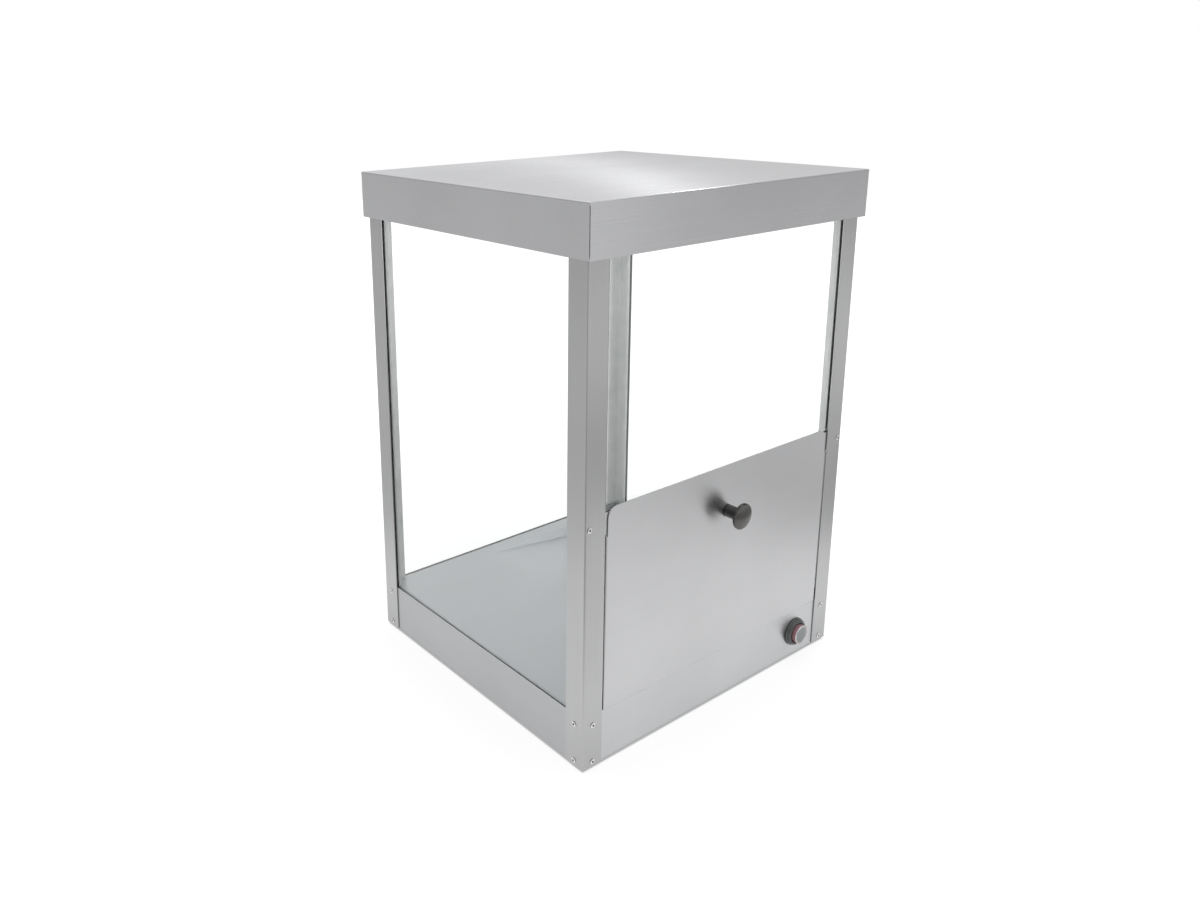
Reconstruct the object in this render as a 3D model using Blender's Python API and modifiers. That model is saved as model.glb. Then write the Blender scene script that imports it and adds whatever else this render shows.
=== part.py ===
"""Countertop warming cabinet: glazed on four sides, with a drop-down flap and a heated base.

Metres, +Z up, the flap faces -Y. The origin is the middle of the footprint on the counter.
"""
import math

import bmesh
import bpy
from mathutils import Vector

# Body over the outer faces of the corner posts
BODY_W = 0.392
BODY_D = 0.360
BODY_H = 0.556
FOOT_STAND = 0.003

# Sheet, glass and fits
SHEET = 0.001
SKIRT_SHEET = 0.0008
GLASS = 0.003
SEAL = 0.0008
GAP = 0.0003
BEND = 0.0015
BEND_STEPS = 3

# Corner posts and the glazing beads behind them
LEG = 0.025
BEAD_DEPTH = 0.0038
GLASS_EDGE = 0.009
SEAL_WIDTH = 0.014
SEAL_SETBACK = 0.001

# Lid and the frame under it
LID_FLANGE = 0.050
LID_SIDE = 0.004
LID_FRONT = 0.006
LID_SEAM = 0.0006
FRAME_WALL = 0.030

# Base skirt, deck and bottom plate
SKIRT_H = 0.056
SKIRT_FLANGE = 0.026
FRONT_FLANGE = 0.018
DECK_RIM = 0.006
WELL_LEFT = 0.150
WELL_RIGHT = 0.027
WELL_FRONT = 0.060
WELL_REAR = 0.0276
WELL_DEEP = 0.015
WELL_LEAN = 1.0
VENT_COUNT = 7
VENT_PITCH = 0.026
VENT_LENGTH = 0.060
VENT_WIDTH = 0.005

# Flap door, measured up from the bottom edge of the skirt
DOOR_SIDE_GAP = 0.002
DOOR_SILL_GAP = 0.0015
DOOR_NOTCH = 0.242
DOOR_TOP = 0.2705
DOOR_STEP = 0.002
DOOR_CORNER = 0.011
DOOR_RETURN = 0.015
HINGE_BACK = 0.004
HINGE_UP = 0.009
PIN_RADIUS = 0.0015
PIN_REACH = 0.002
EAR_SETBACK = 0.001
EAR_SHEET = 0.0012
EAR_DEPTH = 0.010
EAR_TOP = 0.005
EAR_FOOT = 0.011

# Front rail and magnet catch
RAIL_ABOVE_NOTCH = 0.0015
RAIL_H = 0.0225
RAIL_END = 0.002
CATCH_W = 0.040
CATCH_D = 0.0075
CATCH_H = 0.009

# Knob and its screw
KNOB_X = 0.004
KNOB_Z = 0.219
KNOB_REACH = 0.022
KNOB_RADIUS = 0.014
KNOB_HEAD = 0.0045
KNOB_STEM = 0.0068
KNOB_EDGE = 0.0009
KNOB_BORE = 0.010
KNOB_SCREW_RADIUS = 0.0015
KNOB_SCREW_HEAD = 0.0038

# Push switch on the front skirt
SWITCH_IN = 0.060
SWITCH_Z = 0.0285
BEZEL_RADIUS = 0.0165
BEZEL_FRONT = 0.0155
BEZEL_OUT = 0.006
BARREL_WALL = 0.0011
BARREL_DEEP = 0.022
BUTTON_RADIUS = 0.0111
BUTTON_OUT = 0.0108
BUTTON_BACK = 0.005
BUTTON_TRAVEL = 0.003
CAP_RIM = 0.0006
CAP_RECESS = 0.0008
CAP_CROWN = 0.0005

# Small socket screws through the post legs
SCREW_RADIUS = 0.0014
SCREW_HEAD = 0.0028
SCREW_HEAD_H = 0.0009
SCREW_SOCKET = 0.0010
SCREW_LENGTH = 0.0046
SCREW_IN = 0.0128
SCREW_LOW = 0.0055
SCREW_HIGH = 0.0465
RAIL_SCREW_IN = 0.0055
RAIL_SCREW_UP = 0.0115
SCREW_STEPS = 12

# Heating and supply inside the base
HEATER_RADIUS = 0.0035
HEATER_HALF = 0.070
HEATER_FRONT = -0.080
HEATER_BEND_Y = 0.055
HEATER_UP = 0.016
BRACKET_HALF = 0.085
BRACKET_H = 0.022
BRACKET_FOOT = 0.014
THERMOSTAT_X = -0.105
THERMOSTAT_RADIUS = 0.008
THERMOSTAT_H = 0.012
INLET_IN = 0.086
INLET_Z = 0.028
INLET_W = 0.0275
INLET_H = 0.020
INLET_DEEP = 0.018
INLET_LIP = 0.0025
INLET_LIP_OUT = 0.002
INLET_WALL = 0.002
INLET_SOCKET = 0.014
INLET_PIN = 0.002
INLET_PIN_H = 0.005
INLET_PIN_PITCH = 0.007
WIRE_RADIUS = 0.0012
WIRE_AT_SWITCH = 0.004
WIRE_DROP = 0.010
WIRE_END_GAP = 0.0008

# Rubber feet
FOOT_IN = 0.016
FOOT_RADIUS = 0.008
FOOT_STEM = 0.0024
FOOT_HEAD = 0.0036
FOOT_HEAD_H = 0.002

# Layers counted inwards from the outer face of a post leg
SKIRT_OUT = SHEET + GAP
SKIRT_IN = SKIRT_OUT + SKIRT_SHEET
GLASS_OUT = SHEET + max(SEAL, SKIRT_SHEET) + 2 * GAP
GLASS_IN = GLASS_OUT + GLASS
BEAD_OUT = GLASS_IN + GAP
BEAD_IN = BEAD_OUT + BEAD_DEPTH
FRAME_OUT = BEAD_IN + GAP

# Places across, counted in from the right face of the body
SWITCH_X = BODY_W / 2 - SWITCH_IN
INLET_X = BODY_W / 2 - INLET_IN

# Places along Y: the whole footprint, knob and lid included, is centred on the origin
BODY_Y = (KNOB_REACH - LID_FRONT) / 2
FRONT_Y = BODY_Y - BODY_D / 2
REAR_Y = BODY_Y + BODY_D / 2

# Heights
BASE_Z = FOOT_STAND
SKIRT_TOP = BASE_Z + SKIRT_H
PLATE_Z = BASE_Z + SKIRT_SHEET + GAP
PLATE_TOP = PLATE_Z + SHEET
LID_TOP = BASE_Z + BODY_H
FRAME_TOP = LID_TOP - SHEET - GAP
FRAME_SEAT = FRAME_TOP - SHEET
POST_TOP = FRAME_SEAT - GAP
DOOR_BOTTOM = SKIRT_TOP + DOOR_SILL_GAP
HINGE_Z = DOOR_BOTTOM + HINGE_UP
HINGE_Y = FRONT_Y + HINGE_BACK
RAIL_BOTTOM = BASE_Z + DOOR_NOTCH + RAIL_ABOVE_NOTCH
RAIL_TOP = RAIL_BOTTOM + RAIL_H
DOOR_HALF = BODY_W / 2 - LEG - DOOR_SIDE_GAP

# The switch's bore and the barrel round it, which goes through the skirt
BUTTON_BORE = BUTTON_RADIUS + GAP
BARREL_RADIUS = BUTTON_BORE + BARREL_WALL

# Directions that turned pieces point in, as rotations of their own +Z
AIM_UP = (0, 0, 0)
AIM_FRONT = (math.pi / 2, 0, 0)
AIM_REAR = (-math.pi / 2, 0, 0)
AIM_LEFT = (0, -math.pi / 2, 0)
AIM_RIGHT = (0, math.pi / 2, 0)

# Finishes as colour, roughness and metallic
BRUSHED = ((0.62, 0.63, 0.64), 0.34, 1.0)
GALVANISED = ((0.48, 0.50, 0.51), 0.5, 1.0)
CLEAR = ((0.86, 0.91, 0.90), 0.05, 0.0)
BLACK_RUBBER = ((0.02, 0.02, 0.02), 0.8, 0.0)
BLACK_PLASTIC = ((0.03, 0.03, 0.032), 0.42, 0.0)
BLACK_CHROME = ((0.10, 0.10, 0.11), 0.14, 1.0)
RED_PLASTIC = ((0.62, 0.03, 0.03), 0.22, 0.0)
SILVER = ((0.66, 0.66, 0.68), 0.3, 0.9)
HEATER_STEEL = ((0.30, 0.29, 0.27), 0.45, 1.0)
CERAMIC = ((0.75, 0.72, 0.64), 0.6, 0.0)
WIRE_BROWN = ((0.22, 0.09, 0.04), 0.5, 0.0)
WIRE_BLUE = ((0.05, 0.12, 0.42), 0.5, 0.0)

SIDES = {"left": -1, "right": 1}
ENDS = {"front": -1, "rear": 1}


def clear_scene():
    for old in list(bpy.data.objects):
        bpy.data.objects.remove(old, do_unlink=True)


def collection(name):
    group = bpy.data.collections.new(name)
    bpy.context.scene.collection.children.link(group)
    return group


def corner(side, end, across, along, z):
    """A point given by its distances inwards from a corner's two outer faces."""
    x = SIDES[side] * (BODY_W / 2 - across)
    y = BODY_Y + ENDS[end] * (BODY_D / 2 - along)
    return Vector((x, y, z))


def add_object(name, mesh, group=None):
    obj = bpy.data.objects.new(name, mesh)
    (group or PARTS).objects.link(obj)
    return obj


def add_mesh(name, bm, group=None):
    mesh = bpy.data.meshes.new(name)
    bm.to_mesh(mesh)
    bm.free()
    return add_object(name, mesh, group)


def finish(obj, look):
    colour, roughness, metallic = look
    material = bpy.data.materials.new(obj.name + "_finish")
    material.use_nodes = True
    shader = material.node_tree.nodes["Principled BSDF"]
    shader.inputs["Base Color"].default_value = (*colour, 1.0)
    shader.inputs["Roughness"].default_value = roughness
    shader.inputs["Metallic"].default_value = metallic
    obj.data.materials.append(material)
    return obj


def tool(obj):
    """Marks an object as a cutter or a shape to be fused, not a piece."""
    obj.hide_render = True
    obj.display_type = "WIRE"
    return obj


def boolean(obj, other, operation):
    change = obj.modifiers.new(other.name, "BOOLEAN")
    change.operation = operation
    change.solver = "EXACT"
    change.object = other


def box(name, low, high, group=None):
    low, high = Vector(low), Vector(high)
    bm = bmesh.new()
    bmesh.ops.create_cube(bm, size=1.0)
    bmesh.ops.scale(bm, vec=high - low, verts=bm.verts)
    bmesh.ops.translate(bm, vec=(low + high) / 2, verts=bm.verts)
    return add_mesh(name, bm, group)


def rods(name, ends, radius, sides=12):
    """One tool made of straight round rods, each between two points."""
    bm = bmesh.new()
    for start, stop in ends:
        start, stop = Vector(start), Vector(stop)
        turn = (stop - start).to_track_quat("Z", "Y").to_matrix().to_4x4()
        turn.translation = (start + stop) / 2
        bmesh.ops.create_cone(bm, cap_ends=True, segments=sides, radius1=radius, radius2=radius,
                              depth=(stop - start).length, matrix=turn)
    return tool(add_mesh(name, bm, TOOLS))


def prism(name, outline, run, group=None):
    """A closed outline of points pushed along run."""
    bm = bmesh.new()
    face = bm.faces.new([bm.verts.new(p) for p in outline])
    pushed = bmesh.ops.extrude_face_region(bm, geom=[face])["geom"]
    bmesh.ops.translate(bm, vec=run, verts=[g for g in pushed if isinstance(g, bmesh.types.BMVert)])
    bmesh.ops.recalc_face_normals(bm, faces=bm.faces)
    return add_mesh(name, bm, group)


def turned(name, profile, place, aim, steps, group=None):
    """A profile of radius and height, from its top to its bottom, turned round the aim."""
    bm = bmesh.new()
    points = [bm.verts.new((radius, 0, height)) for radius, height in profile]
    for first, second in zip(points, points[1:]):
        bm.edges.new((first, second))
    obj = add_mesh(name, bm, group)
    obj.location = place
    obj.rotation_euler = aim
    turn = obj.modifiers.new("turn", "SCREW")
    turn.steps = steps
    turn.render_steps = steps
    turn.use_merge_vertices = True
    turn.merge_threshold = 0.00001
    return obj


def sheet_object(name, bm, facing, sheet, bend=BEND, keeps_sharp=None):
    """Folded sheet: an open outer surface, rounded at its folds and given its thickness.

    facing is a direction that one face of the surface looks straight along.
    """
    bmesh.ops.recalc_face_normals(bm, faces=bm.faces)
    square = [f.normal.dot(Vector(facing)) for f in bm.faces]
    if max(square, key=abs) < 0:
        bmesh.ops.reverse_faces(bm, faces=bm.faces)
    weight = bm.edges.layers.float.new("bevel_weight_edge")
    for edge in bm.edges:
        folded = len(edge.link_faces) == 2 and edge.calc_face_angle() > math.radians(30)
        if folded and not (keeps_sharp and keeps_sharp(edge)):
            edge[weight] = 1.0
    obj = add_mesh(name, bm)
    fold = obj.modifiers.new("bends", "BEVEL")
    fold.limit_method = "WEIGHT"
    fold.width = bend
    fold.segments = BEND_STEPS
    wall = obj.modifiers.new("sheet", "SOLIDIFY")
    wall.thickness = sheet
    wall.offset = -1.0
    wall.use_even_offset = True
    return obj


def strip(name, points, run, facing, sheet, bend=BEND):
    """Folded strip: a bent line of points pushed along run."""
    bm = bmesh.new()
    line = [bm.verts.new(p) for p in points]
    edges = [bm.edges.new(pair) for pair in zip(line, line[1:])]
    push_edges(bm, edges, lambda vert: Vector(run))
    return sheet_object(name, bm, facing, sheet, bend)


def push_edges(bm, edges, shift):
    """Extrudes edges, moving each new vertex by shift(vertex), and returns the new edges."""
    geom = bmesh.ops.extrude_edge_only(bm, edges=edges)["geom"]
    fresh = [g for g in geom if isinstance(g, bmesh.types.BMVert)]
    moves = [(vert, shift(vert)) for vert in fresh]
    for vert, move in moves:
        vert.co += move
    return [g for g in geom if isinstance(g, bmesh.types.BMEdge) and all(v in fresh for v in g.verts)]


def flat_sheet(bm, corners):
    return bm.faces.new([bm.verts.new(p) for p in corners])


def split(bm, point, normal):
    bmesh.ops.bisect_plane(bm, geom=bm.verts[:] + bm.edges[:] + bm.faces[:], dist=1e-7,
                           plane_co=point, plane_no=normal)


def arc(centre, radius, start, stop, steps):
    angles = [start + (stop - start) * i / steps for i in range(steps + 1)]
    return [(centre[0] + radius * math.cos(a), centre[1] + radius * math.sin(a)) for a in angles]


def tube(name, points, radius, look):
    curve = bpy.data.curves.new(name, "CURVE")
    curve.dimensions = "3D"
    curve.bevel_depth = radius
    curve.bevel_resolution = 2
    curve.use_fill_caps = True
    spline = curve.splines.new("POLY")
    spline.points.add(len(points) - 1)
    for slot, point in zip(spline.points, points):
        slot.co = (*point, 1.0)
    return finish(add_object(name, curve), look)


def smooth_route(points, steps):
    """Points along a smooth curve through the route's own points."""
    ring = [points[0]] + [Vector(p) for p in points] + [points[-1]]
    ring = [Vector(p) for p in ring]
    route = []
    for a, b, c, d in zip(ring, ring[1:], ring[2:], ring[3:]):
        for i in range(steps):
            t = i / steps
            route.append(b + (c - a) * 0.5 * t + (a * 2 - b * 5 + c * 4 - d) * 0.5 * t * t
                         + (b * 3 - a - c * 3 + d) * 0.5 * t ** 3)
    return route + [ring[-1]]


def screw_heights():
    return [BASE_Z + SCREW_LOW, BASE_Z + SCREW_HIGH]


def screw_hole_rods(side, end, face):
    """Holes for the two base screws of one leg, which looks to its end or to its side."""
    found = []
    for z in screw_heights():
        for reach in (-SCREW_LENGTH, SCREW_LENGTH):
            across, along = (SCREW_IN, reach) if face == "end" else (reach, SCREW_IN)
            found.append(corner(side, end, across, along, z))
    return list(zip(found[::2], found[1::2]))


def rail_hole_rod(side):
    z = RAIL_BOTTOM + RAIL_SCREW_UP
    return (corner(side, "front", RAIL_SCREW_IN, -SCREW_LENGTH, z),
            corner(side, "front", RAIL_SCREW_IN, SCREW_LENGTH, z))


def posts():
    for end in ENDS:
        for side in SIDES:
            name = f"post_{end}_{side}"
            line = [corner(side, end, a, b, BASE_Z) for a, b in ((LEG, 0), (0, 0), (0, LEG))]
            post = strip(name, line, (0, 0, POST_TOP - BASE_Z), (0, ENDS[end], 0), SHEET)
            holes = screw_hole_rods(side, end, "end") + screw_hole_rods(side, end, "side")
            if end == "front":
                holes.append(rail_hole_rod(side))
            boolean(post, rods(name + "_holes", holes, SCREW_RADIUS + GAP), "DIFFERENCE")
            finish(post, BRUSHED)


def glazing_beads():
    """Folded profiles inside the corners, whose lips hold the glass against the posts."""
    section = ((LEG, BEAD_OUT), (LEG, BEAD_IN), (BEAD_IN, BEAD_IN), (BEAD_IN, LEG), (BEAD_OUT, LEG))
    low, high = SKIRT_TOP + GAP, POST_TOP - BEND
    for end in ENDS:
        for side in SIDES:
            name = f"glazing_bead_{end}_{side}"
            line = [corner(side, end, a, b, low) for a, b in section]
            bead = strip(name, line, (0, 0, high - low), (-SIDES[side], 0, 0), SHEET)
            if end == "front":
                reach = 2 * BEND + BEAD_IN
                near = corner(side, end, reach, 0, low - SHEET)
                far = corner(side, end, LEG + BEND, LEG, RAIL_TOP + GAP)
                low_corner = [min(p) for p in zip(near, far)]
                high_corner = [max(p) for p in zip(near, far)]
                boolean(bead, tool(box(name + "_door_room", low_corner, high_corner, TOOLS)), "DIFFERENCE")
            finish(bead, BRUSHED)


def skirts():
    left = -(BODY_W / 2 - SKIRT_OUT)
    front, rear = FRONT_Y + GLASS_OUT, REAR_Y - SKIRT_OUT
    bm = bmesh.new()
    plan = ((left, front), (left, rear), (-left, rear), (-left, front))
    line = [bm.verts.new((x, y, SKIRT_TOP)) for x, y in plan]
    top = [bm.edges.new(pair) for pair in zip(line, line[1:])]
    low = push_edges(bm, top, lambda vert: Vector((0, 0, -SKIRT_H)))

    def inward(vert):
        back = SKIRT_FLANGE if vert.co.y > BODY_Y else 0
        return Vector((math.copysign(SKIRT_FLANGE, -vert.co.x), -back, 0))

    push_edges(bm, low, inward)
    wrap = sheet_object("skirt_wrap", bm, (0, 1, 0), SKIRT_SHEET)
    holes = []
    for side in SIDES:
        holes += screw_hole_rods(side, "front", "side") + screw_hole_rods(side, "rear", "side")
        holes += screw_hole_rods(side, "rear", "end")
    boolean(wrap, rods("skirt_wrap_holes", holes, SCREW_RADIUS + GAP), "DIFFERENCE")
    boolean(wrap, foot_holes("skirt_wrap_foot_holes"), "DIFFERENCE")
    half, low = INLET_W / 2 + GAP, inlet_low() - GAP
    mouth = tool(box("inlet_mouth", (INLET_X - half, REAR_Y - INLET_DEEP, low),
                     (INLET_X + half, REAR_Y + INLET_DEEP, low + INLET_H + 2 * GAP), TOOLS))
    boolean(wrap, mouth, "DIFFERENCE")
    finish(wrap, BRUSHED)
    front_skirt(left)


def front_skirt(left):
    face_y = FRONT_Y + SKIRT_OUT
    fold = -left - SKIRT_FLANGE - 2 * GAP - BEND
    bm = bmesh.new()
    flat_sheet(bm, [(left, face_y, BASE_Z), (-left, face_y, BASE_Z), (-left, face_y, SKIRT_TOP),
                    (left, face_y, SKIRT_TOP)])
    for x in (-fold, fold):
        split(bm, (x, 0, 0), (1, 0, 0))
    low = [e for e in bm.edges
           if all(abs(v.co.z - BASE_Z) < GAP and abs(v.co.x) < fold + GAP for v in e.verts)]
    push_edges(bm, low, lambda vert: Vector((0, FRONT_FLANGE, 0)))
    skirt = sheet_object("skirt_front", bm, (0, -1, 0), SKIRT_SHEET)
    holes = screw_hole_rods("left", "front", "end") + screw_hole_rods("right", "front", "end")
    boolean(skirt, rods("skirt_front_holes", holes, SCREW_RADIUS + GAP), "DIFFERENCE")
    z = BASE_Z + SWITCH_Z
    barrel = [((SWITCH_X, face_y - BARREL_DEEP, z), (SWITCH_X, face_y + BARREL_DEEP, z))]
    boolean(skirt, rods("switch_hole", barrel, BARREL_RADIUS + GAP, 24), "DIFFERENCE")
    finish(skirt, BRUSHED)


def foot_spots():
    return [(end, side, corner(side, end, FOOT_IN, FOOT_IN, 0)) for end in ENDS for side in SIDES]


def foot_holes(name):
    up = Vector((0, 0, PLATE_TOP + FOOT_STAND))
    return rods(name, [(spot, spot + up) for _, _, spot in foot_spots()], FOOT_STEM + GAP)


def bottom_plate():
    half = BODY_W / 2 - GLASS_OUT
    plate = box("bottom_plate", (-half, FRONT_Y + GLASS_OUT, PLATE_Z),
                (half, REAR_Y - GLASS_OUT, PLATE_TOP))
    boolean(plate, foot_holes("plate_foot_holes"), "DIFFERENCE")
    bm = bmesh.new()
    for row in (-1, 1):
        for i in range(VENT_COUNT):
            made = bmesh.ops.create_cube(bm, size=1.0)["verts"]
            bmesh.ops.scale(bm, vec=(VENT_WIDTH, VENT_LENGTH, PLATE_TOP), verts=made)
            x = (i - (VENT_COUNT - 1) / 2) * VENT_PITCH
            bmesh.ops.translate(bm, vec=(x, BODY_Y + row * VENT_LENGTH, PLATE_Z), verts=made)
    boolean(plate, tool(add_mesh("plate_vents", bm, TOOLS)), "DIFFERENCE")
    finish(plate, GALVANISED)


def deck():
    """Floor of the chamber: level on the left and falling to the right in a sunken part."""
    half = BODY_W / 2 - BEAD_OUT
    front, rear = FRONT_Y + GLASS_OUT, REAR_Y - BEAD_OUT
    bm = bmesh.new()
    flat_sheet(bm, [(-half, front, SKIRT_TOP), (half, front, SKIRT_TOP), (half, rear, SKIRT_TOP),
                    (-half, rear, SKIRT_TOP)])
    rim = push_edges(bm, bm.edges[:], lambda vert: Vector((0, 0, -DECK_RIM)))
    slot = [e for e in rim if max(v.co.y for v in e.verts) > front + GAP]
    reach = BEAD_OUT - GLASS_OUT

    def outward(vert):
        back = reach if vert.co.y > rear - GAP else 0
        return Vector((math.copysign(reach, vert.co.x), back, 0))

    push_edges(bm, slot, outward)
    floor = sheet_object("deck", bm, (0, 0, 1), SHEET)
    left, right = WELL_LEFT - BODY_W / 2, BODY_W / 2 - WELL_RIGHT
    near, far = FRONT_Y + WELL_FRONT, REAR_Y - WELL_REAR
    slope = WELL_DEEP / (right - left)

    def ramp(x, below):
        return SKIRT_TOP - below - (x - left) * slope

    start, wall = left - SHEET / 2 / slope, right + SHEET
    shell = [(start, ramp(start, SHEET)), (wall, SKIRT_TOP - SHEET / 2), (wall, ramp(wall, SHEET))]
    behind = SHEET * math.hypot(1, WELL_LEAN)
    boolean(floor, wedge("well_shell", shell, near - SHEET, far + behind), "UNION")
    start = left - SHEET / slope
    hollow = [(start, ramp(start, 0)), (right, SKIRT_TOP + SHEET), (right, ramp(right, 0))]
    boolean(floor, wedge("well_hollow", hollow, near, far), "DIFFERENCE")
    finish(floor, BRUSHED)


def wedge(name, profile, near, far):
    """The sunken part as a tool, with its rear wall leaning back."""
    body = prism(name, [(x, near, z) for x, z in profile], (0, far - near, 0), TOOLS)
    for vert in body.data.vertices:
        if vert.co.y > far - GAP:
            vert.co.y -= (SKIRT_TOP - vert.co.z) * WELL_LEAN
    return tool(body)


def top_frame():
    half_x, half_y = BODY_W / 2 - FRAME_OUT, BODY_D / 2 - FRAME_OUT
    bm = bmesh.new()
    ring = [bm.verts.new((x, BODY_Y + y, FRAME_SEAT - FRAME_WALL))
            for x, y in ((-half_x, -half_y), (half_x, -half_y), (half_x, half_y), (-half_x, half_y))]
    low = [bm.edges.new((ring[i], ring[(i + 1) % 4])) for i in range(4)]
    high = push_edges(bm, low, lambda vert: Vector((0, 0, FRAME_WALL)))
    reach = FRAME_OUT - SHEET

    def outward(vert):
        return Vector((math.copysign(reach, vert.co.x), math.copysign(reach, vert.co.y - BODY_Y), 0))

    push_edges(bm, high, outward)
    finish(sheet_object("top_frame", bm, (0, 0, -1), SHEET), BRUSHED)


def lid():
    half = Vector((BODY_W / 2 + LID_SIDE, BODY_D / 2 + LID_FRONT, 0))
    bm = bmesh.new()
    bmesh.ops.create_cube(bm, size=1.0)
    bmesh.ops.scale(bm, vec=(2 * half.x, 2 * half.y, LID_FLANGE), verts=bm.verts)
    bmesh.ops.translate(bm, vec=(0, BODY_Y, LID_TOP - LID_FLANGE / 2), verts=bm.verts)
    under = [f for f in bm.faces if f.normal.z < -0.5]
    bmesh.ops.delete(bm, geom=under, context="FACES_ONLY")

    def upright(edge):
        return abs(edge.verts[0].co.z - edge.verts[1].co.z) > GAP

    cover = sheet_object("lid", bm, (0, 0, 1), SHEET, keeps_sharp=upright)
    seams = bmesh.new()
    for x in (-1, 1):
        for y in (-1, 1):
            cut = bmesh.ops.create_cube(seams, size=1.0)["verts"]
            bmesh.ops.scale(seams, vec=(LID_SEAM, 8 * SHEET, LID_FLANGE), verts=cut)
            turn = Vector((x, y, 0)).to_track_quat("Y", "Z").to_matrix()
            bmesh.ops.rotate(seams, cent=(0, 0, 0), matrix=turn, verts=cut)
            at = Vector((x * half.x, BODY_Y + y * half.y, LID_TOP - LID_FLANGE / 2 - 2 * BEND))
            bmesh.ops.translate(seams, vec=at, verts=cut)
    boolean(cover, tool(add_mesh("lid_corner_seams", seams, TOOLS)), "DIFFERENCE")
    finish(cover, BRUSHED)


def front_rail():
    out, back = FRONT_Y + SKIRT_OUT, FRONT_Y + BEAD_OUT + SKIRT_SHEET
    half = BODY_W / 2 - RAIL_END
    line = [(-half, out, RAIL_TOP), (-half, out, RAIL_BOTTOM), (-half, back, RAIL_BOTTOM),
            (-half, back, RAIL_TOP)]
    rail = strip("front_rail", line, (2 * half, 0, 0), (0, 0, -1), SKIRT_SHEET, BEND - GAP)
    holes = [rail_hole_rod(side) for side in SIDES]
    boolean(rail, rods("front_rail_holes", holes, SCREW_RADIUS + GAP), "DIFFERENCE")
    finish(rail, BRUSHED)
    catch_back = out + CATCH_D
    catch = box("magnet_catch", (-CATCH_W / 2, out, RAIL_BOTTOM - GAP - CATCH_H),
                (CATCH_W / 2, catch_back, RAIL_BOTTOM - GAP))
    soften(catch, GAP)
    finish(catch, BLACK_PLASTIC)


def soften(obj, width):
    edge = obj.modifiers.new("edges", "BEVEL")
    edge.width = width
    edge.segments = 1


def panes():
    """Four panes; the front one stands in the rail above the flap."""
    top = POST_TOP - BEND
    floor = SKIRT_TOP - DECK_RIM + BEND + GAP
    half_x, half_y = BODY_W / 2 - GLASS_EDGE, BODY_D / 2 - GLASS_EDGE
    for side, sign in SIDES.items():
        outer, inner = sign * (BODY_W / 2 - GLASS_OUT), sign * (BODY_W / 2 - GLASS_IN)
        pane = box(f"glass_{side}", (min(outer, inner), BODY_Y - half_y, floor),
                   (max(outer, inner), BODY_Y + half_y, top))
        soften(pane, GAP)
        finish(pane, CLEAR)
    rear = box("glass_rear", (-half_x, REAR_Y - GLASS_IN, floor), (half_x, REAR_Y - GLASS_OUT, top))
    front = box("glass_front", (-half_x, FRONT_Y + GLASS_OUT, RAIL_BOTTOM + SKIRT_SHEET + GAP),
                (half_x, FRONT_Y + GLASS_IN, top))
    for pane in (rear, front):
        soften(pane, GAP)
        finish(pane, CLEAR)


def seals():
    """Black strips between the glass and the posts, joined across the top under the lid."""
    wide = LEG - SEAL_SETBACK
    top = POST_TOP - BEND
    low = SKIRT_TOP + GAP

    def arch(half, foot):
        inner = half - wide
        outer = inner + SEAL_WIDTH
        return [(-outer, foot), (-inner, foot), (-inner, top - SEAL_WIDTH), (inner, top - SEAL_WIDTH),
                (inner, foot), (outer, foot), (outer, top), (-outer, top)]

    for side, sign in SIDES.items():
        face = sign * (BODY_W / 2 - SHEET - GAP)
        outline = [(face, BODY_Y + a, z) for a, z in arch(BODY_D / 2, low)]
        finish(prism(f"glass_seal_{side}", outline, (-sign * SEAL, 0, 0)), BLACK_RUBBER)
    for end, sign in ENDS.items():
        face = BODY_Y + sign * (BODY_D / 2 - SHEET - GAP)
        foot = RAIL_TOP + GAP if end == "front" else low
        outline = [(a, face, z) for a, z in arch(BODY_W / 2, foot)]
        finish(prism(f"glass_seal_{end}", outline, (0, -sign * SEAL, 0)), BLACK_RUBBER)


def door(axis):
    notch, top = BASE_Z + DOOR_NOTCH, BASE_Z + DOOR_TOP
    tongue = DOOR_HALF - DOOR_STEP
    centre = (tongue - DOOR_CORNER, top - DOOR_CORNER)
    right = [(DOOR_HALF, DOOR_BOTTOM), (DOOR_HALF, notch), (tongue, notch)]
    right += arc(centre, DOOR_CORNER, 0, math.pi / 2, 4)
    outline = right + [(-x, z) for x, z in reversed(right)]
    bm = bmesh.new()
    flat_sheet(bm, [(x, FRONT_Y, z) for x, z in outline])
    sides = [e for e in bm.edges if all(abs(v.co.x) > DOOR_HALF - GAP for v in e.verts)
             and abs(e.verts[0].co.x - e.verts[1].co.x) < GAP]
    push_edges(bm, sides, lambda vert: Vector((0, DOOR_RETURN, 0)))
    panel = sheet_object("door_panel", bm, (0, -1, 0), SHEET)
    bore = [[(KNOB_X, FRONT_Y + y, BASE_Z + KNOB_Z) for y in (-SHEET, 2 * SHEET)]]
    boolean(panel, rods("knob_hole", bore, KNOB_SCREW_RADIUS + GAP), "DIFFERENCE")
    pivot = [((-BODY_W / 2, HINGE_Y, HINGE_Z), (BODY_W / 2, HINGE_Y, HINGE_Z))]
    boolean(panel, rods("pivot_holes", pivot, PIN_RADIUS + GAP), "DIFFERENCE")
    finish(panel, BRUSHED)
    for piece in [panel] + knob():
        hang(piece, axis)


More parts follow.
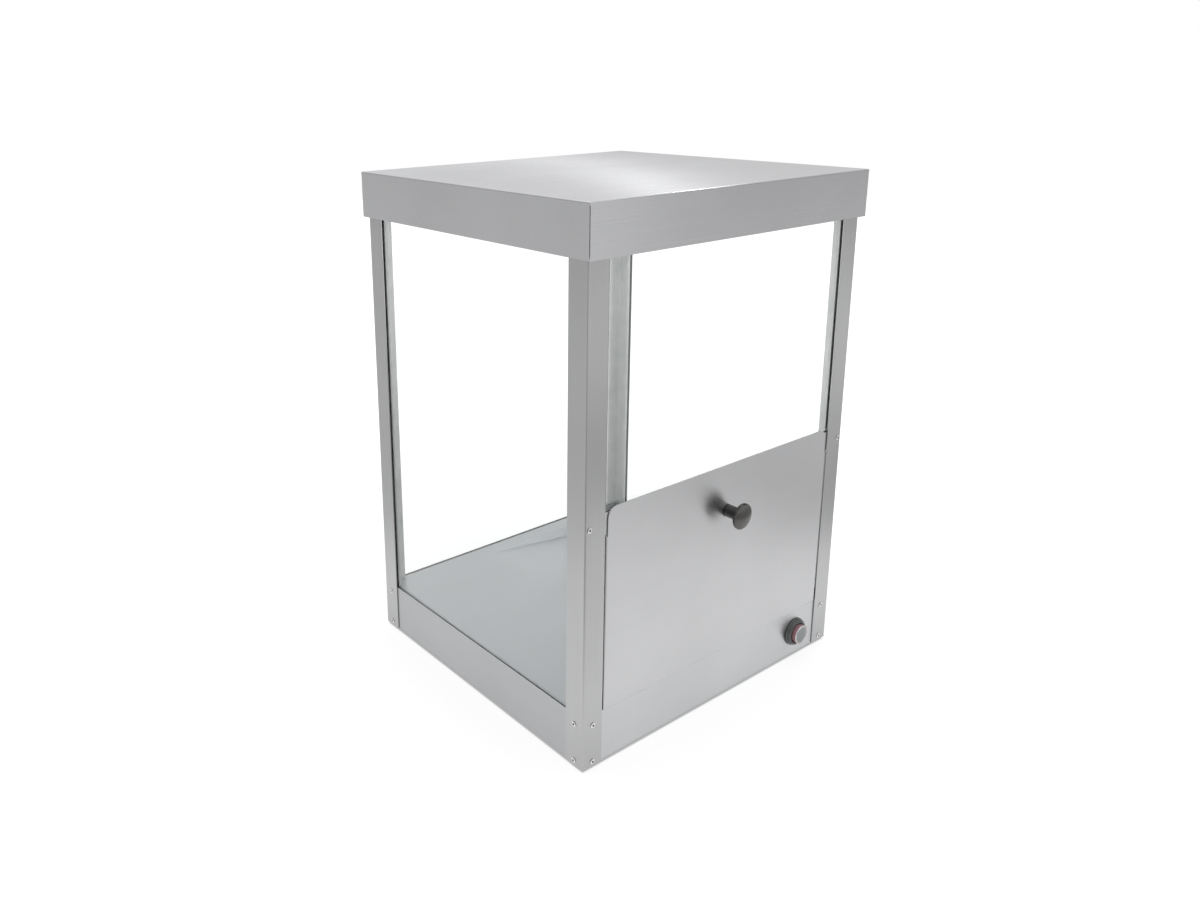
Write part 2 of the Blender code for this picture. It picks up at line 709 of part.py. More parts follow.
def knob():
    reach, head, rim = KNOB_REACH, KNOB_HEAD, KNOB_RADIUS
    bore = KNOB_SCREW_RADIUS + GAP
    edge = KNOB_EDGE
    profile = [(0, reach), (rim - 3 * edge, reach - edge / 4), (rim - edge, reach - edge),
               (rim, reach - 2 * edge), (rim, reach - head + 2 * edge), (rim - edge, reach - head + edge),
               (KNOB_STEM, reach - head), (KNOB_STEM, SHEET), (KNOB_STEM + SHEET, GAP), (bore, GAP),
               (bore, KNOB_BORE), (0, KNOB_BORE)]
    place = (KNOB_X, FRONT_Y, BASE_Z + KNOB_Z)
    handle = finish(turned("door_knob", profile, place, AIM_FRONT, 28), BLACK_CHROME)
    shank, disc = KNOB_SCREW_RADIUS, KNOB_SCREW_HEAD
    screw_end = -(SHEET + KNOB_BORE - 2 * GAP)
    profile = [(0, disc * 0.6), (disc * 0.6, disc * 0.6), (disc, disc * 0.3), (disc, GAP), (shank, GAP),
               (shank, screw_end), (0, screw_end)]
    place = (KNOB_X, FRONT_Y + SHEET, BASE_Z + KNOB_Z)
    return [handle, finish(turned("knob_screw", profile, place, AIM_REAR, 12), GALVANISED)]


def hang(piece, axis):
    """Parents a piece to an empty without moving it."""
    piece.parent = axis
    piece.matrix_parent_inverse = axis.matrix_world.inverted()


def joint_axis(name, place):
    axis = bpy.data.objects.new(name, None)
    PARTS.objects.link(axis)
    axis.location = place
    bpy.context.view_layer.update()
    return axis


def hinge_brackets():
    """Angles on the deck behind the posts, each with the pin that the flap turns on."""
    ear = LEG - EAR_SETBACK
    low, high = SKIRT_TOP + GAP, HINGE_Z + EAR_TOP
    front = SHEET + 4 * GAP
    for side, sign in SIDES.items():
        name = f"hinge_bracket_{side}"
        line = [corner(side, "front", ear - EAR_FOOT, front, low), corner(side, "front", ear, front, low),
                corner(side, "front", ear, front, high)]
        bracket = strip(name, line, (0, EAR_DEPTH, 0), (0, 0, -1), EAR_SHEET, BEND)
        pin_end = LEG + DOOR_SIDE_GAP + SHEET + PIN_REACH
        start = corner(side, "front", ear - EAR_SHEET / 2, HINGE_BACK, HINGE_Z)
        stop = corner(side, "front", pin_end, HINGE_BACK, HINGE_Z)
        boolean(bracket, rods(name + "_pin", [(start, stop)], PIN_RADIUS), "UNION")
        finish(bracket, BRUSHED)


def push_switch():
    face = (SWITCH_X, FRONT_Y + SKIRT_OUT, BASE_Z + SWITCH_Z)
    floor = -(BUTTON_BACK + BUTTON_TRAVEL + SHEET)
    profile = [(0, floor), (BUTTON_BORE, floor), (BUTTON_BORE, BEZEL_OUT - 2 * GAP),
               (BUTTON_BORE + 2 * GAP, BEZEL_OUT), (BEZEL_FRONT - 2 * GAP, BEZEL_OUT),
               (BEZEL_FRONT, BEZEL_OUT - 2 * GAP), (BEZEL_RADIUS, BEZEL_OUT / 4), (BEZEL_RADIUS, GAP),
               (BARREL_RADIUS, GAP), (BARREL_RADIUS, -BARREL_DEEP), (0, -BARREL_DEEP)]
    finish(turned("switch_housing", profile, face, AIM_FRONT, 28), BLACK_PLASTIC)
    axis = joint_axis("switch_axis", face)
    seat, dish = BUTTON_OUT - CAP_RECESS, BUTTON_RADIUS - CAP_RIM
    profile = [(0, seat), (dish, seat), (dish, BUTTON_OUT), (BUTTON_RADIUS - CAP_RIM / 2, BUTTON_OUT),
               (BUTTON_RADIUS, BUTTON_OUT - CAP_RIM), (BUTTON_RADIUS, -BUTTON_BACK), (0, -BUTTON_BACK)]
    button = finish(turned("switch_button", profile, face, AIM_FRONT, 28), RED_PLASTIC)
    rim = dish - GAP
    profile = [(0, BUTTON_OUT + CAP_CROWN), (rim * 0.7, BUTTON_OUT + CAP_CROWN * 0.7), (rim, BUTTON_OUT),
               (rim, seat + GAP), (0, seat + GAP)]
    cap = finish(turned("switch_cap", profile, face, AIM_FRONT, 28), SILVER)
    for piece in (button, cap):
        hang(piece, axis)


def heating():
    mid_y = BODY_Y
    z = BASE_Z + HEATER_UP
    bend = arc((0, BODY_Y + HEATER_BEND_Y), HEATER_HALF, 0, math.pi, 16)
    path = [(HEATER_HALF, BODY_Y + HEATER_FRONT)] + bend + [(-HEATER_HALF, BODY_Y + HEATER_FRONT)]
    tube("heater_element", [(x, y, z) for x, y in path], HEATER_RADIUS, HEATER_STEEL)
    low = PLATE_TOP + GAP
    line = [(-BRACKET_HALF, mid_y + BRACKET_FOOT, low), (-BRACKET_HALF, mid_y, low),
            (-BRACKET_HALF, mid_y, low + BRACKET_H)]
    bracket = strip("heater_bracket", line, (2 * BRACKET_HALF, 0, 0), (0, 0, -1), SHEET)
    legs = [((x, mid_y - BRACKET_FOOT, z), (x, mid_y + BRACKET_FOOT, z))
            for x in (-HEATER_HALF, HEATER_HALF)]
    boolean(bracket, rods("heater_leg_holes", legs, HEATER_RADIUS + GAP, 16), "DIFFERENCE")
    finish(bracket, GALVANISED)
    disc, deep = THERMOSTAT_RADIUS, THERMOSTAT_H
    profile = [(0, 0), (disc + SHEET, 0), (disc + SHEET, -SHEET), (disc, -2 * SHEET), (disc, -0.7 * deep),
               (disc * 0.6, -deep), (0, -deep)]
    seat = (THERMOSTAT_X, BODY_Y, SKIRT_TOP - SHEET - GAP)
    finish(turned("thermostat", profile, seat, AIM_UP, 16), CERAMIC)


def inlet_low():
    return BASE_Z + INLET_Z - INLET_H / 2


def power_inlet():
    """Appliance inlet in the rear skirt, with its socket open to the back."""
    wall = REAR_Y - SKIRT_OUT
    left, right = INLET_X - INLET_W / 2, INLET_X + INLET_W / 2
    low, high = inlet_low(), inlet_low() + INLET_H
    body = box("power_inlet", (left, wall - INLET_DEEP, low), (right, wall + GAP + INLET_LIP / 2, high))
    lip = tool(box("inlet_lip", (left - INLET_LIP_OUT, wall + GAP, low - INLET_LIP_OUT),
                   (right + INLET_LIP_OUT, wall + GAP + INLET_LIP, high + INLET_LIP_OUT), TOOLS))
    boolean(body, lip, "UNION")
    mouth = wall + GAP + INLET_LIP
    floor = mouth - INLET_SOCKET
    socket = tool(box("inlet_socket", (left + INLET_WALL, floor, low + INLET_WALL),
                      (right - INLET_WALL, mouth + INLET_LIP, high - INLET_WALL), TOOLS))
    boolean(body, socket, "DIFFERENCE")
    for i in (-1, 0, 1):
        x = INLET_X + i * INLET_PIN_PITCH
        z = BASE_Z + INLET_Z
        pin = tool(box(f"inlet_pin_{i + 1}", (x - INLET_PIN / 2, floor - GAP, z - INLET_PIN_H / 2),
                       (x + INLET_PIN / 2, mouth - INLET_LIP, z + INLET_PIN_H / 2), TOOLS))
        boolean(body, pin, "UNION")
    finish(body, BLACK_PLASTIC)


def wires():
    """Two leads under the deck: inlet to switch and switch to heater."""
    switch_back = FRONT_Y + SKIRT_OUT + BARREL_DEEP + WIRE_END_GAP
    inlet_back = REAR_Y - SKIRT_OUT - INLET_DEEP - WIRE_END_GAP
    z_switch, z_inlet, z_heater = BASE_Z + SWITCH_Z, BASE_Z + INLET_Z, BASE_Z + HEATER_UP
    run = switch_back - inlet_back
    drop = WIRE_DROP
    supply = [(INLET_X, inlet_back, z_inlet - WIRE_AT_SWITCH),
              (INLET_X, inlet_back + 0.08 * run, z_inlet - WIRE_AT_SWITCH),
              (INLET_X + drop, inlet_back + 0.4 * run, BASE_Z + drop),
              (SWITCH_X + WIRE_AT_SWITCH, inlet_back + 0.75 * run, BASE_Z + drop),
              (SWITCH_X + WIRE_AT_SWITCH, switch_back - 0.06 * run, z_switch),
              (SWITCH_X + WIRE_AT_SWITCH, switch_back, z_switch)]
    tube("wire_supply", smooth_route(supply, 4), WIRE_RADIUS, WIRE_BROWN)
    heater_end = BODY_Y + HEATER_FRONT - WIRE_END_GAP
    load = [(SWITCH_X - WIRE_AT_SWITCH, switch_back, z_switch),
            (SWITCH_X - WIRE_AT_SWITCH, switch_back + drop, z_switch),
            ((SWITCH_X + HEATER_HALF) / 2, (switch_back + heater_end) / 2, BASE_Z + drop),
            (HEATER_HALF, heater_end - drop, z_heater),
            (HEATER_HALF, heater_end, z_heater)]
    tube("wire_heater", smooth_route(load, 4), WIRE_RADIUS, WIRE_BLUE)


def feet():
    top = PLATE_TOP + GAP
    rim = FOOT_STAND - GAP
    profile = [(0, top + FOOT_HEAD_H), (FOOT_HEAD * 0.7, top + FOOT_HEAD_H), (FOOT_HEAD, top),
               (FOOT_STEM, top), (FOOT_STEM, rim), (FOOT_RADIUS, rim), (FOOT_RADIUS - SHEET, 0), (0, 0)]
    for end, side, spot in foot_spots():
        finish(turned(f"foot_{end}_{side}", profile, spot, AIM_UP, 16), BLACK_RUBBER)


def screws():
    head, tall, socket = SCREW_HEAD, SCREW_HEAD_H, SCREW_SOCKET
    profile = [(0, GAP), (socket, GAP), (socket, tall), (head * 0.72, tall), (head, tall * 0.55),
               (head, GAP), (SCREW_RADIUS, GAP), (SCREW_RADIUS, -SCREW_LENGTH), (0, -SCREW_LENGTH)]
    end_aim = {"front": AIM_FRONT, "rear": AIM_REAR}
    side_aim = {"left": AIM_LEFT, "right": AIM_RIGHT}
    for end in ENDS:
        for side in SIDES:
            for level, z in zip(("low", "high"), screw_heights()):
                spots = {"post": (SCREW_IN, 0, end_aim[end]), "side": (0, SCREW_IN, side_aim[side])}
                for leg, (across, along, aim) in spots.items():
                    at = corner(side, end, across, along, z)
                    name = f"{leg}_screw_{end}_{side}_{level}"
                    finish(turned(name, profile, at, aim, SCREW_STEPS), GALVANISED)
    for side in SIDES:
        at = corner(side, "front", RAIL_SCREW_IN, 0, RAIL_BOTTOM + RAIL_SCREW_UP)
        finish(turned(f"rail_screw_{side}", profile, at, AIM_FRONT, SCREW_STEPS), GALVANISED)


def main():
    posts()
    glazing_beads()
    skirts()
    bottom_plate()
    deck()
    top_frame()
    lid()
    front_rail()
    panes()
    seals()
    door(joint_axis("door_axis", (0, HINGE_Y, HINGE_Z)))
    hinge_brackets()
    push_switch()
    heating()
    power_inlet()
    wires()
    feet()
    screws()


clear_scene()
PARTS = collection("warming_cabinet")
TOOLS = collection("cutters")
main()
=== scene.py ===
"""Looks of the countertop warming cabinet: finishes for its solids, finer small pieces, light and camera.

Metres, +Z up, the flap faces -Y, as in the solids.
"""
import math

import bmesh
import bpy
from bpy.props import FloatProperty, FloatVectorProperty, IntProperty, PointerProperty
from mathutils import Euler, Matrix, Vector


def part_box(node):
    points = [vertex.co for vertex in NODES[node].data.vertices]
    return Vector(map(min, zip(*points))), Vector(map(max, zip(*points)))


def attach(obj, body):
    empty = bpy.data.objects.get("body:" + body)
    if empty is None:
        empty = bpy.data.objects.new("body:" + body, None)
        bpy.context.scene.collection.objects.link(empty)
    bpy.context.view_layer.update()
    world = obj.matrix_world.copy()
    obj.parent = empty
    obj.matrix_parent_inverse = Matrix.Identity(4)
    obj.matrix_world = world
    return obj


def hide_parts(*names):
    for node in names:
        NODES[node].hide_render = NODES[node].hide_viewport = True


bl_info = {
    "name": "Warming cabinet looks",
    "version": (1, 0, 0),
    "blender": (4, 5, 0),
    "location": "View3D > Sidebar > Cabinet",
    "description": "Finishes and small pieces of a glazed countertop warming cabinet",
    "category": "Object",
}

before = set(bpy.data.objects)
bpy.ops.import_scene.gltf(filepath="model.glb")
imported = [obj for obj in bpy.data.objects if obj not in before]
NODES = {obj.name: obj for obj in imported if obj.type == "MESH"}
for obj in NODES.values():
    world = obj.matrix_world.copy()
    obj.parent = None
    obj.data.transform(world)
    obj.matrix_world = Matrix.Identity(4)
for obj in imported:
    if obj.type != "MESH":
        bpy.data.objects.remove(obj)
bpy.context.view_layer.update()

CABINET, DOOR, SWITCH = "cabinet", "door", "switch"
SHARP_ANGLE = math.radians(35)
ROUND_ANGLE = math.radians(22)
MERGE = 1e-6
# Clearance between pieces
GAP = 0.0003
# Noise values mostly lie between these two
NOISE_LOW, NOISE_HIGH = 0.3, 0.7
# Depth of a grain at full strength
GRAIN_DEPTH = 0.0002
# How far a plain finish strays from its roughness
GLOSS_SPREAD = 0.06

# Brushing: the way of the lines, and how fine they are along each axis in repeats per metre.
# Level lines turn a little off X, so that they also run level on the sides.
BRUSH_WAYS = {"upright": (0, 0, 1), "level": (0.998, 0.06, 0), "flat": (0.998, 0.06, 0)}
BRUSH_LINES = {"upright": (900, 900, 5), "level": (5, 5, 900), "flat": (5, 900, 900)}
# How far the lines stray from the sheet's roughness, and how strong they stand out
BRUSH_SPREAD, BRUSH_BUMP = 0.035, 0.04

# Socket screws: radius and height of the head, depth of the socket, length of the shank below the head
SCREW_RIM, SCREW_TALL, SOCKET_DEEP, SHANK_LONG = 0.0028, 0.0009, 0.0007, 0.0044
# Shares of that radius at the flat crown and at the shank, and the steps round the head
SCREW_CROWN, SHANK, SCREW_STEPS = 0.6, 0.5, 24
# Rings from the crown down to the shank, as shares of the head's radius and height
SCREW_RINGS = ((0.85, 0.82), (1.0, 0.5), (1.0, 0.34), (SHANK, 0.34))

# Kinds of ray, for the table and the room only
SEEN = ("Is Camera Ray", "Is Transmission Ray")
MIRRORED = ("Is Glossy Ray",)
WHITE = (1, 1, 1, 1)
# The room as light, and the sines of elevation between which its mirrored walls turn to a white ceiling
ROOM_LIGHT = (0.80, 0.80, 0.81, 1)
CEILING = (0.40, 0.9)
# The room that mirrors see, as compass angle from +X towards +Y in degrees and brightness:
# light behind the cabinet, a bright upright band at the right and dim behind the camera
ROOM = ((-180, 0.45), (-131, 0.28), (-90, 0.38), (-60, 0.60), (-48, 0.95), (-40, 0.30), (-33, 0.32),
        (-10, 0.70), (0, 0.80), (20, 0.80), (36, 0.76), (52, 0.62), (90, 0.58), (120, 0.47), (135, 0.45),
        (180, 0.45))
# The floor in mirrors: a strip of white paper runs under the cabinet along the view. Beside it the floor is
# dimmer, with a second light stretch far to the right. Metres to the right across the paper, and brightness
ACROSS = (0.774, -0.633, 0)
PAPER = ((-2.60, 0.76), (-0.57, 0.72), (-0.47, 1.0), (0.50, 1.0), (0.62, 0.57), (0.85, 0.56), (1.05, 0.70),
         (1.40, 0.86), (1.80, 0.97), (2.10, 0.97), (2.80, 0.86), (3.60, 0.55), (4.50, 0.56))
# On the paper it is dimmer in front of the near corner: metres along the paper and brightness,
# and how far that holds across it
ALONG = (0.633, 0.774, 0)
NEAR_END = ((-0.90, 0.35), (-0.55, 0.50), (-0.40, 0.78), (-0.27, 1.0))
NEAR_WIDE = ((-0.55, 0.0), (-0.40, 1.0), (0.40, 1.0), (0.55, 0.0))
# The cabinet's contact shadow in mirrors: metres from its foot, and brightness
CONTACT = ((0.0, 0.82), (0.05, 0.93), (0.08, 0.97), (0.12, 1.0))
# The table's grey as light, and the matt share of it where it is seen, which takes the shadow
TABLE_LIGHT, TABLE_SEEN = 0.8, 0.34
# Brightness from and to, and the metres from the cabinet's foot between which it changes:
# a painted shadow dimming the table's glow under the foot and just outside it, and the table's own white
# where it is seen
PAINTED_SHADOW_UNDER_FOOT = (0.4, 1.0, 0.0, 0.002)
TABLE_GLOW = (0.78, 1.0, 0.04, 0.50)
# Lamps: name, place, size, power and the point they look at
LAMPS = (("overhead_soft", (0.15, 0.25, 1.55), (1.5, 1.0), 3.0, (0.0, 0.02, 0.3)),
         ("side_tube", (0.77, -0.02, 1.29), (0.4, 0.08), 0.95, (0.0, 0.0, 0.56)))

# Ways that turned pieces point, as rotations of their own +Z
AIM = {
    "front": Euler((math.pi / 2, 0, 0)),
    "rear": Euler((-math.pi / 2, 0, 0)),
    "left": Euler((0, -math.pi / 2, 0)),
    "right": Euler((0, math.pi / 2, 0)),
}


class FinishSettings(bpy.types.PropertyGroup):
    steel: FloatVectorProperty(
        name="Brushed steel", description="Colour of the stainless sheet",
        subtype="COLOR", size=3, default=(0.66, 0.662, 0.668), min=0.0, max=1.0)
    steel_roughness: FloatProperty(
        name="Steel roughness", description="Mean roughness of the brushed sheet",
        subtype="FACTOR", default=0.36, min=0.0, max=1.0)
    glass: FloatVectorProperty(
        name="Glass", description="Tint of the panes",
        subtype="COLOR", size=3, default=(0.99, 1.0, 0.995), min=0.0, max=1.0)
    knob: FloatVectorProperty(
        name="Knob", description="Colour of the dark polished knob",
        subtype="COLOR", size=3, default=(0.118, 0.116, 0.113), min=0.0, max=1.0)
    button: FloatVectorProperty(
        name="Button", description="Colour of the clear red button",
        subtype="COLOR", size=3, default=(0.45, 0.235, 0.26), min=0.0, max=1.0)
    black: FloatVectorProperty(
        name="Black plastic", description="Colour of the inlet and the magnet catch",
        subtype="COLOR", size=3, default=(0.035, 0.036, 0.038), min=0.0, max=1.0)


class DetailSettings(bpy.types.PropertyGroup):
    knob_steps: IntProperty(
        name="Turned steps", description="Steps round the knob and the switch", default=96, min=12)
    edge: FloatProperty(
        name="Turned edge", description="Twice the rounding on the edges of turned pieces",
        subtype="DISTANCE", unit="LENGTH", default=0.0004, min=0.0)
    socket: FloatProperty(
        name="Socket", description="Radius over the corners of a screw's hexagon socket",
        subtype="DISTANCE", unit="LENGTH", default=0.0013, min=0.0)


class StageSettings(bpy.types.PropertyGroup):
    lens: FloatProperty(name="Lens", description="Focal length in millimetres", default=30.2, min=1.0)
    eye: FloatVectorProperty(
        name="Eye", description="Place of the camera", subtype="TRANSLATION", unit="LENGTH",
        size=3, default=(-0.76921, -0.79028, 0.66436))
    turn: FloatVectorProperty(
        name="Turn", description="Rotation of the camera", subtype="EULER", unit="ROTATION",
        size=3, default=(1.305097, 0.014422, -0.651631))
    shift: FloatVectorProperty(
        name="Shift", description="Shift of the lens", size=2, default=(0.0917, -0.0875))
    table: FloatProperty(
        name="Table", description="Half the width of the white table top",
        subtype="DISTANCE", unit="LENGTH", default=4.0, min=0.1)


def settings():
    scene = bpy.context.scene
    return scene.cabinet_finish, scene.cabinet_detail, scene.cabinet_stage


def new_material(name):
    """A material with its node tree and its one Principled shader."""
    material = bpy.data.materials.new(name)
    material.use_nodes = True
    return material, material.node_tree, material.node_tree.nodes["Principled BSDF"]


def add_node(tree, kind, **values):
    node = tree.nodes.new(kind)
    for name, value in values.items():
        setattr(node, name, value)
    return node


def object_noise(tree, scale, detail=2.0, stretch=(1, 1, 1), roughness=0.5):
    """Noise on the piece's own coordinates, in repeats per metre; the output is its value."""
    place = add_node(tree, "ShaderNodeTexCoord")
    mapping = add_node(tree, "ShaderNodeMapping")
    mapping.inputs["Scale"].default_value = stretch
    noise = add_node(tree, "ShaderNodeTexNoise")
    noise.inputs["Scale"].default_value = scale
    noise.inputs["Detail"].default_value = detail
    noise.inputs["Roughness"].default_value = roughness
    tree.links.new(place.outputs["Object"], mapping.inputs["Vector"])
    tree.links.new(mapping.outputs["Vector"], noise.inputs["Vector"])
    return noise.outputs["Fac"]


def ranged(tree, value, low, high, start=NOISE_LOW, stop=NOISE_HIGH):
    """Value spread from low to high."""
    spread = add_node(tree, "ShaderNodeMapRange")
    for name, number in (("From Min", start), ("From Max", stop), ("To Min", low), ("To Max", high)):
        spread.inputs[name].default_value = number
    tree.links.new(value, spread.inputs["Value"])
    return spread.outputs["Result"]


def shaded(tree, value, colour, low, high):
    """Colour made a little darker or lighter by a value."""
    ramp = add_node(tree, "ShaderNodeValToRGB")
    for point, share, at in zip(ramp.color_ramp.elements, (low, high), (NOISE_LOW, NOISE_HIGH)):
        point.position = at
        point.color = (*[min(1.0, c * share) for c in colour], 1.0)
    tree.links.new(value, ramp.inputs["Fac"])
    return ramp.outputs["Color"]


def bumped(tree, shader, value, strength):
    bump = add_node(tree, "ShaderNodeBump")
    bump.inputs["Strength"].default_value = strength
    bump.inputs["Distance"].default_value = GRAIN_DEPTH
    tree.links.new(value, bump.inputs["Height"])
    tree.links.new(bump.outputs["Normal"], shader.inputs["Normal"])


def brushed_steel(name, along, tone=1.0, tint=(1.0, 1.0, 1.0), brushing=0.6, rough=None):
    """Stainless sheet with fine brush lines along a direction, which draw its highlights out across them."""
    finish, _, _ = settings()
    material, tree, shader = new_material(name)
    colour = [c * tone * t for c, t in zip(finish.steel, tint)]
    lines = object_noise(tree, 1.0, detail=3.0, stretch=BRUSH_LINES[along], roughness=0.6)
    patches = object_noise(tree, 9.0, detail=3.0)
    shader.inputs["Metallic"].default_value = 1.0
    shader.inputs["Anisotropic"].default_value = brushing
    tree.links.new(shaded(tree, patches, colour, 0.97, 1.03), shader.inputs["Base Color"])
    rough = rough or finish.steel_roughness
    tree.links.new(ranged(tree, lines, rough - BRUSH_SPREAD, rough + BRUSH_SPREAD),
                   shader.inputs["Roughness"])
    surface = add_node(tree, "ShaderNodeNewGeometry")
    across = add_node(tree, "ShaderNodeVectorMath", operation="CROSS_PRODUCT")
    across.inputs[1].default_value = BRUSH_WAYS[along]
    tree.links.new(surface.outputs["Normal"], across.inputs[0])
    tree.links.new(across.outputs["Vector"], shader.inputs["Tangent"])
    bumped(tree, shader, lines, BRUSH_BUMP)
    return material


def plain_finish(name, colour, roughness, metallic=0.0, grain=400.0, bump=0.05):
    """Moulded, plated or rubber finish with a fine grain and slightly uneven colour and gloss."""
    material, tree, shader = new_material(name)
    fine = object_noise(tree, grain, detail=3.0)
    broad = object_noise(tree, 40.0)
    shader.inputs["Metallic"].default_value = metallic
    tree.links.new(shaded(tree, broad, colour, 0.92, 1.08), shader.inputs["Base Color"])
    tree.links.new(ranged(tree, fine, max(0.02, roughness - GLOSS_SPREAD), roughness + GLOSS_SPREAD),
                   shader.inputs["Roughness"])
    bumped(tree, shader, fine, bump)
    return material


def clear_glass(name, tint):
    """Clear glass with faint smears."""
    material, tree, shader = new_material(name)
    smears = object_noise(tree, 14.0, detail=4.0)
    shader.inputs["Base Color"].default_value = (*tint, 1.0)
    shader.inputs["Transmission Weight"].default_value = 1.0
    shader.inputs["IOR"].default_value = 1.46
    tree.links.new(ranged(tree, smears, 0.0, 0.012, start=0.45, stop=0.75), shader.inputs["Roughness"])
    return material


def dress(material, *names):
    """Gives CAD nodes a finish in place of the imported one."""
    for name in names:
        slots = NODES[name].data.materials
        slots.clear()
        slots.append(material)


def named(prefix):
    return sorted(name for name in NODES if name.startswith(prefix))


def new_object(name, bm, materials):
    """Makes a finished mesh an object of the scene."""
    mesh = bpy.data.meshes.new(name)
    bm.to_mesh(mesh)
    bm.free()
    for material in materials:
        mesh.materials.append(material)
    made = bpy.data.objects.new(name, mesh)
    bpy.context.scene.collection.objects.link(made)
    return made


def add_piece(name, bm, materials, body, replaced):
    """Makes a finished mesh a piece that rides on a body and stands for CAD nodes."""
    piece = new_object(name, bm, materials)
    for polygon in piece.data.polygons:
        polygon.use_smooth = True
    piece.data.set_sharp_from_angle(angle=SHARP_ANGLE)
    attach(piece, body)
    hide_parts(*replaced)


def second_finish(bm, chosen):
    """Gives the second material to the faces whose middles are chosen, and the first to the rest."""
    for polygon in bm.faces:
        polygon.material_index = 1 if chosen(polygon.calc_center_median()) else 0


def clean(bm):
    bmesh.ops.remove_doubles(bm, verts=bm.verts, dist=MERGE)
    bmesh.ops.recalc_face_normals(bm, faces=bm.faces)


def round_edges(bm, radius, edges=None, segments=3):
    """Rounds the given edges, or all that fold by more than the round angle."""
    found = edges or [e for e in bm.edges if e.is_manifold and e.calc_face_angle() > ROUND_ANGLE]
    bmesh.ops.bevel(bm, geom=found, offset=radius, offset_type="OFFSET", affect="EDGES",
                    segments=segments, profile=0.5, material=-1, clamp_overlap=True)


def seated(low, high):
    """The seat at the rear of a box round a piece that is turned about Y, its radius and its reach."""
    seat = Vector(((low.x + high.x) / 2, high.y, (low.z + high.z) / 2))
    return seat, (high.x - low.x) / 2, high.y - low.y


def domed(radius, top, drop, shares):
    """The part of a profile that falls from its top towards a radius."""
    return [(radius * share, top - drop * share ** 2) for share in shares]


def turned(profile, steps, edge):
    """A profile of radius and height spun round +Z, with its edges rounded."""
    bm = bmesh.new()
    points = [bm.verts.new((radius, 0, height)) for radius, height in profile]
    edges = [bm.edges.new(pair) for pair in zip(points, points[1:])]
    bmesh.ops.spin(bm, geom=points + edges, cent=(0, 0, 0), axis=(0, 0, 1), dvec=(0, 0, 0),
                   angle=2 * math.pi, steps=steps, use_merge=True, use_duplicate=False)
    clean(bm)
    if edge > 0:
        round_edges(bm, edge)
    return bm


def put(bm, at, aim):
    """Turns a mesh from +Z to its aim and moves it into place."""
    bmesh.ops.transform(bm, matrix=Matrix.Translation(at) @ AIM[aim].to_matrix().to_4x4(), verts=bm.verts)
    return bm


def boxed(bm, low, high):
    """Adds a box."""
    low, high = Vector(low), Vector(high)
    verts = bmesh.ops.create_cube(bm, size=1.0)["verts"]
    bmesh.ops.scale(bm, vec=high - low, verts=verts)
    bmesh.ops.translate(bm, vec=(low + high) / 2, verts=verts)


class CABINET_OT_sheet_metal(bpy.types.Operator):
    """Finishes posts, skirts, rail, flap, lid, deck and brackets as brushed steel, and the beads as satin"""
    bl_idname = "cabinet.sheet_metal"
    bl_label = "Sheet metal"

    def execute(self, context):
        post = brushed_steel("post_steel", "upright", tone=0.835)
        dress(post, *named("post_front"), *named("post_rear"))
        bead = plain_finish("bead_satin", (0.94, 0.965, 0.945), 0.40, metallic=0.25, grain=900.0)
        dress(bead, *named("glazing_bead"))
        front = brushed_steel("skirt_front_steel", "level", tint=(0.985, 1.0, 1.01), brushing=0.8)
        dress(front, "skirt_front")
        wrap = brushed_steel("skirt_steel", "level", tone=0.83, tint=(0.99, 1.0, 1.01), brushing=0.8)
        dress(wrap, "skirt_wrap")
        dress(brushed_steel("rail_steel", "level", tone=0.94), "front_rail")
        flap = brushed_steel("flap_steel", "level", tone=0.95, tint=(1.0, 1.0, 1.005), rough=0.32)
        dress(flap, "door_panel")
        lid = brushed_steel("lid_steel", "flat", tint=(1.0, 1.0, 1.01), brushing=0.98, rough=0.30)
        dress(lid, "lid", "top_frame")
        dress(brushed_steel("deck_steel", "flat", tone=0.72, tint=(0.96, 1.0, 1.03)), "deck")
        dress(brushed_steel("bracket_steel", "level", tone=0.85), *named("hinge_bracket"))
        return {"FINISHED"}


class CABINET_OT_glazing(bpy.types.Operator):
    """Finishes the four panes and the black strips at their edges"""
    bl_idname = "cabinet.glazing"
    bl_label = "Glazing"

    def execute(self, context):
        finish, _, _ = settings()
        pane = clear_glass("pane_glass", finish.glass)
        dress(pane, "glass_left", "glass_right", "glass_front", "glass_rear")
        seal = plain_finish("seal_rubber", (0.018, 0.018, 0.019), 0.72, grain=900.0)
        dress(seal, *named("glass_seal"))
        return {"FINISHED"}


